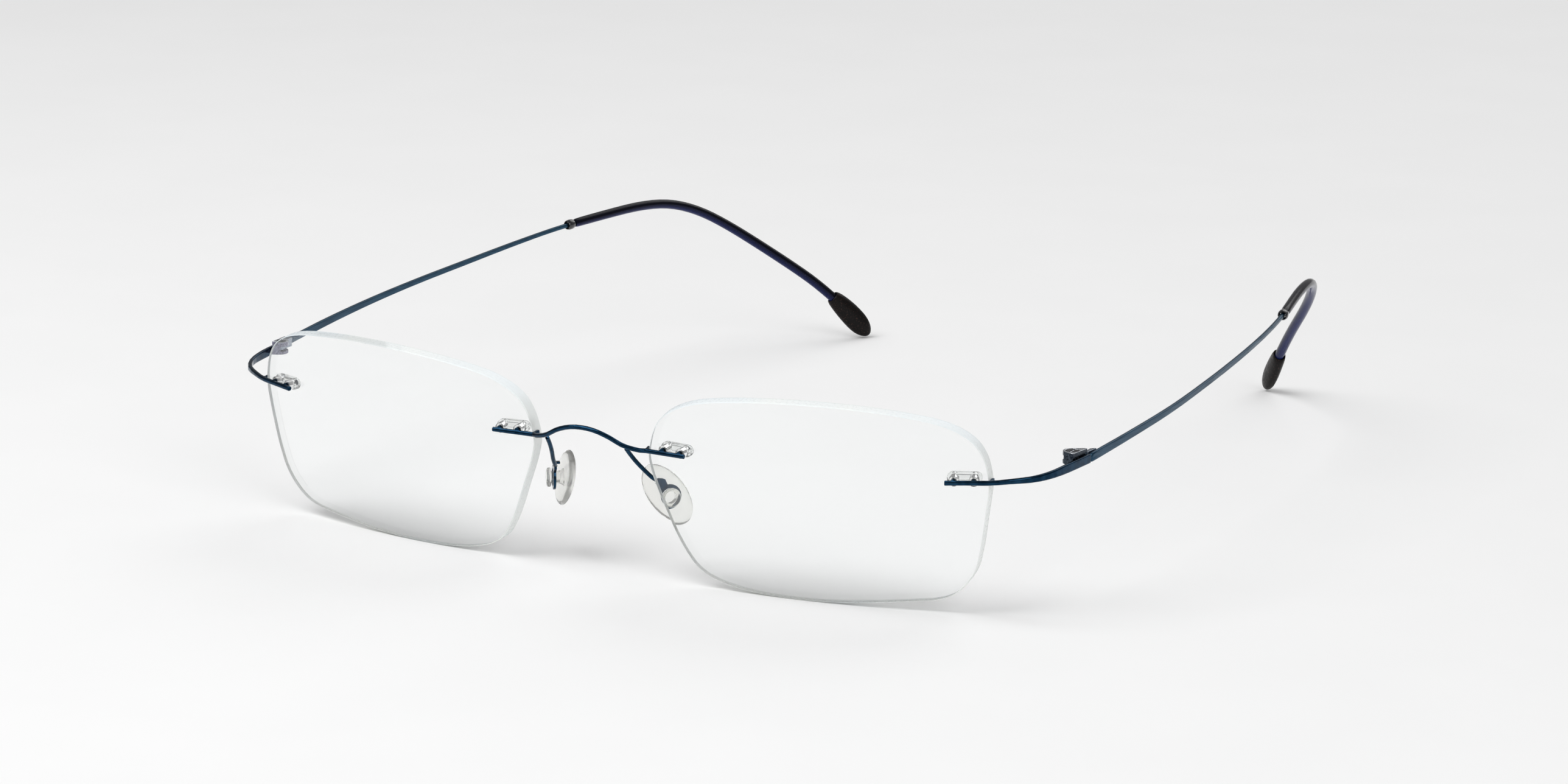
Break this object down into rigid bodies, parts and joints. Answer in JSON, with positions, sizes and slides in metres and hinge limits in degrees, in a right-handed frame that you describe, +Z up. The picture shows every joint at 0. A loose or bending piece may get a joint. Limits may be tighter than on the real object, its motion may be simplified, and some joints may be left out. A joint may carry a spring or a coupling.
{
  "type": "rimless eyeglasses",
  "caption": "Rimless eyeglasses with drilled clear lenses, a wire bridge with rocking nose pads, and slim dark blue temples that fold on barrel hinges.",
  "frame": {"origin": "under the middle of the open glasses, on the plane that they rest on", "axes": "+X to the wearer's left, -Y to the front, +Z up"},
  "size_m": [0.129, 0.1498, 0.0282],
  "materials": {
    "blue_metal": "dark petrol blue gloss over metal wire",
    "temple_metal": "blue-grey satin gloss over metal strip",
    "hinge_metal": "silver grey-blue, satin",
    "screw_metal": "black oxide with a bright slot",
    "clear_lens": "clear, polished faces and satin edges",
    "clear_bush": "clear, faint warm grey",
    "clear_pad": "soft clear silicone, faint warm grey",
    "smoky_sleeve": "smoky translucent dark blue-grey",
    "dark_plastic": "near-black brown, soft gloss"
  },
  "bodies": {
    "front": {"bridge": "blue_metal", "lens_left": "clear_lens", "nasal_bush_left": "clear_bush", "temporal_bush_left": "clear_bush", "pad_arm_left": "blue_metal", "end_piece_left": "blue_metal", "hinge_barrel_left": "hinge_metal", "hinge_screw_left": "screw_metal", "lens_right": "clear_lens", "nasal_bush_right": "clear_bush", "temporal_bush_right": "clear_bush", "pad_arm_right": "blue_metal", "end_piece_right": "blue_metal", "hinge_barrel_right": "hinge_metal", "hinge_screw_right": "screw_metal"},
    "temple_left": {"temple_left": "temple_metal", "hinge_leaf_left": "hinge_metal", "temple_collar_left": "dark_plastic", "temple_sleeve_left": "smoky_sleeve", "temple_tip_left": "dark_plastic"},
    "nose_pad_left": {"nose_pad_left": "clear_pad"},
    "temple_right": {"temple_right": "temple_metal", "hinge_leaf_right": "hinge_metal", "temple_collar_right": "dark_plastic", "temple_sleeve_right": "smoky_sleeve", "temple_tip_right": "dark_plastic"},
    "nose_pad_right": {"nose_pad_right": "clear_pad"}
  },
  "joints": [
    {"name": "temple_fold_left", "type": "hinge", "parent": "front", "child": "temple_left", "pos_m": [0.06217, -0.05205, 0.0204], "axis": [0.014, 0, 0.9999], "range_deg": [0, 79]},
    {"name": "temple_fold_right", "type": "hinge", "parent": "front", "child": "temple_right", "pos_m": [-0.06217, -0.05205, 0.0204], "axis": [-0.014, 0, -0.9999], "range_deg": [0, 79]},
    {"name": "pad_rock_left", "type": "hinge", "parent": "front", "child": "nose_pad_left", "pos_m": [0.00928, -0.06605, 0.01127], "axis": [0, 0, 1], "range_deg": [-8, 8]},
    {"name": "pad_rock_right", "type": "hinge", "parent": "front", "child": "nose_pad_right", "pos_m": [-0.00928, -0.06605, 0.01127], "axis": [0, 0, -1], "range_deg": [-8, 8]}
  ]
}
